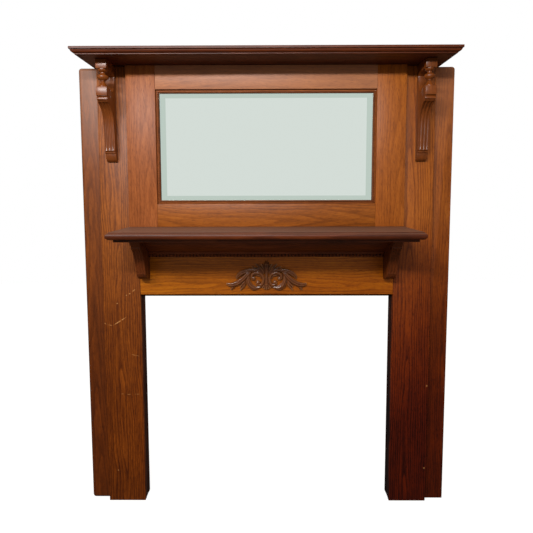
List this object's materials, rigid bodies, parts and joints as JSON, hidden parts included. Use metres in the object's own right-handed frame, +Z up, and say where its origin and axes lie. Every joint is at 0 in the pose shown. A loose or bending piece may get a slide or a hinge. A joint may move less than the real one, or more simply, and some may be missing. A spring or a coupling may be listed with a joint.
{
  "type": "fireplace mantel",
  "caption": "Oak fireplace mantel with a carved frieze, a deep mid shelf, a bevelled mirror in a rope moulding and a top shelf on fluted brackets.",
  "frame": {"origin": "centre of the middle back rail's rear face, which is fixed to the wall", "axes": "+X to the viewer's right, +Y into the wall, +Z up; the front faces -Y"},
  "size_m": [1.546, 0.345, 1.887],
  "materials": {
    "oak_body": "golden red-brown stained oak, old satin varnish",
    "oak_dark": "dark stained oak, satin varnish",
    "oak_frieze": "orange-brown stained oak with strong cathedral grain",
    "oak_shelf": "dark brown stained oak, satin varnish, dusty on top",
    "oak_carved": "carved and turned oak, brown stain, satin varnish",
    "plain_back": "unstained sawn softwood",
    "mirror_silver": "bevelled silvered plate, slightly green"
  },
  "bodies": {
    "root": {"pilaster_left": "oak_body", "pilaster_right": "oak_body", "outer_board_left": "oak_body", "outer_board_right": "oak_body", "outer_return_left": "plain_back", "outer_return_right": "plain_back", "jamb_lining_left": "oak_dark", "jamb_lining_right": "oak_dark", "jamb_fillet_left": "oak_dark", "jamb_fillet_right": "oak_dark", "frieze": "oak_frieze", "head_lining": "oak_dark", "back_rail_middle": "plain_back", "back_rail_top": "plain_back", "top_shelf": "oak_shelf", "mid_shelf": "oak_shelf", "mid_shelf_strip": "oak_shelf", "under_shelf_moulding": "oak_dark", "bead_strip": "oak_dark", "upper_bracket_left": "oak_carved", "upper_bracket_right": "oak_carved", "bracket_spindle_left": "oak_carved", "bracket_spindle_right": "oak_carved", "small_bracket_left": "oak_dark", "small_bracket_right": "oak_dark", "mirror_stile_left": "oak_body", "mirror_stile_right": "oak_body", "mirror_rail_bottom": "oak_body", "mirror_rail_top": "oak_body", "mirror_glass": "mirror_silver", "mirror_backing": "plain_back", "rope_bottom": "oak_dark", "rope_top": "oak_dark", "rope_left": "oak_dark", "rope_right": "oak_dark", "carved_ornament": "oak_carved"}
  },
  "joints": []
}
